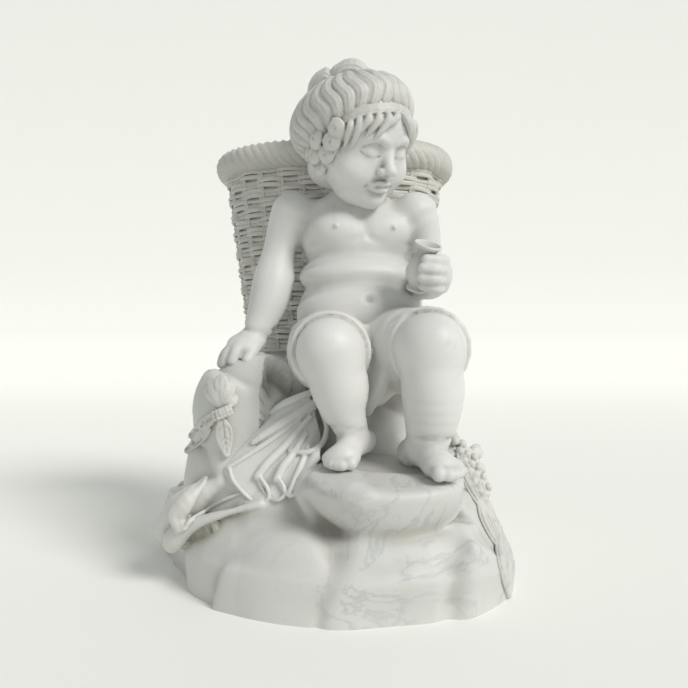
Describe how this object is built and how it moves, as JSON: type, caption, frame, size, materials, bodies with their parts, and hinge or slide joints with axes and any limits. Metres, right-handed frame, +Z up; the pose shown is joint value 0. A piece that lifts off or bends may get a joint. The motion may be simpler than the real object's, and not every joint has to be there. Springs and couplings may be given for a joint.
{
  "type": "child statue",
  "caption": "Marble statue of a seated child holding a small jug, a cloth over its lap, in front of an open oval wicker harvest basket on a rough rock base.",
  "frame": {"origin": "on the flat underside of the rock base, below the child's seat", "axes": "+Z up, the child faces -Y, +X is to the right of someone who looks at its front"},
  "size_m": [0.5777, 0.5947, 0.7996],
  "materials": {
    "marble": "honed, with a soft sheen"
  },
  "bodies": {
    "root": {"child_statue": "marble"}
  },
  "joints": []
}
